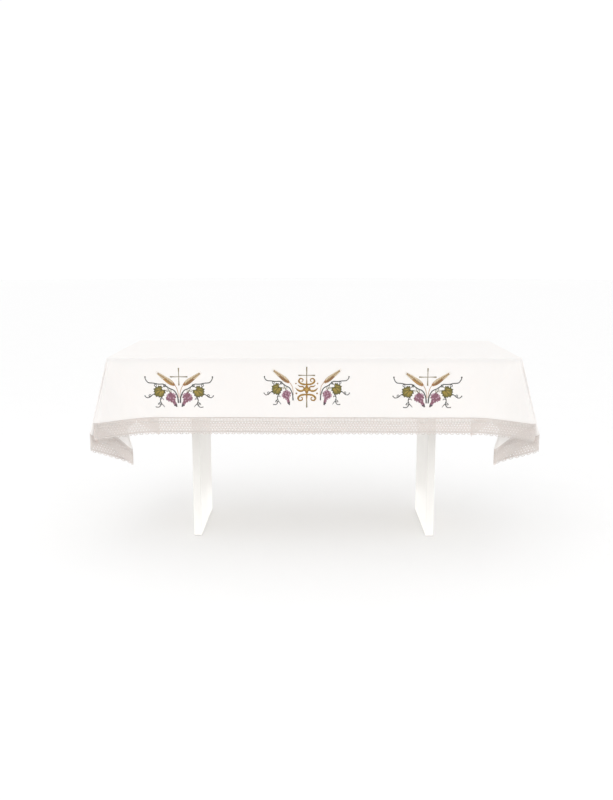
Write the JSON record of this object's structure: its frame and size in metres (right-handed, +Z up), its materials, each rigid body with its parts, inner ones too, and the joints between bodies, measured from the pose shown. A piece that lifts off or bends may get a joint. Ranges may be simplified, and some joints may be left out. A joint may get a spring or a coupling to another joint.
{
  "type": "altar cloth on a plain table",
  "caption": "White altar cloth with a lace edging, draped over a plain table: flat on top, short drops all round, hanging in flutes at the corners.",
  "frame": {"origin": "on the floor, under the middle of the table", "axes": "+X along the table's length, -Y towards the embroidered front drop, +Z up"},
  "size_m": [2.1872, 1.0018, 0.9523],
  "materials": {
    "white_linen": "matt plain weave",
    "ecru_lace": "matt lace net",
    "white_paint": "satin white paint"
  },
  "bodies": {
    "root": {"cloth": "white_linen", "lace_front": "ecru_lace", "lace_right": "ecru_lace", "lace_back": "ecru_lace", "lace_left": "ecru_lace", "table_top": "white_paint", "leg_left": "white_paint", "leg_right": "white_paint", "rail": "white_paint"}
  },
  "joints": []
}
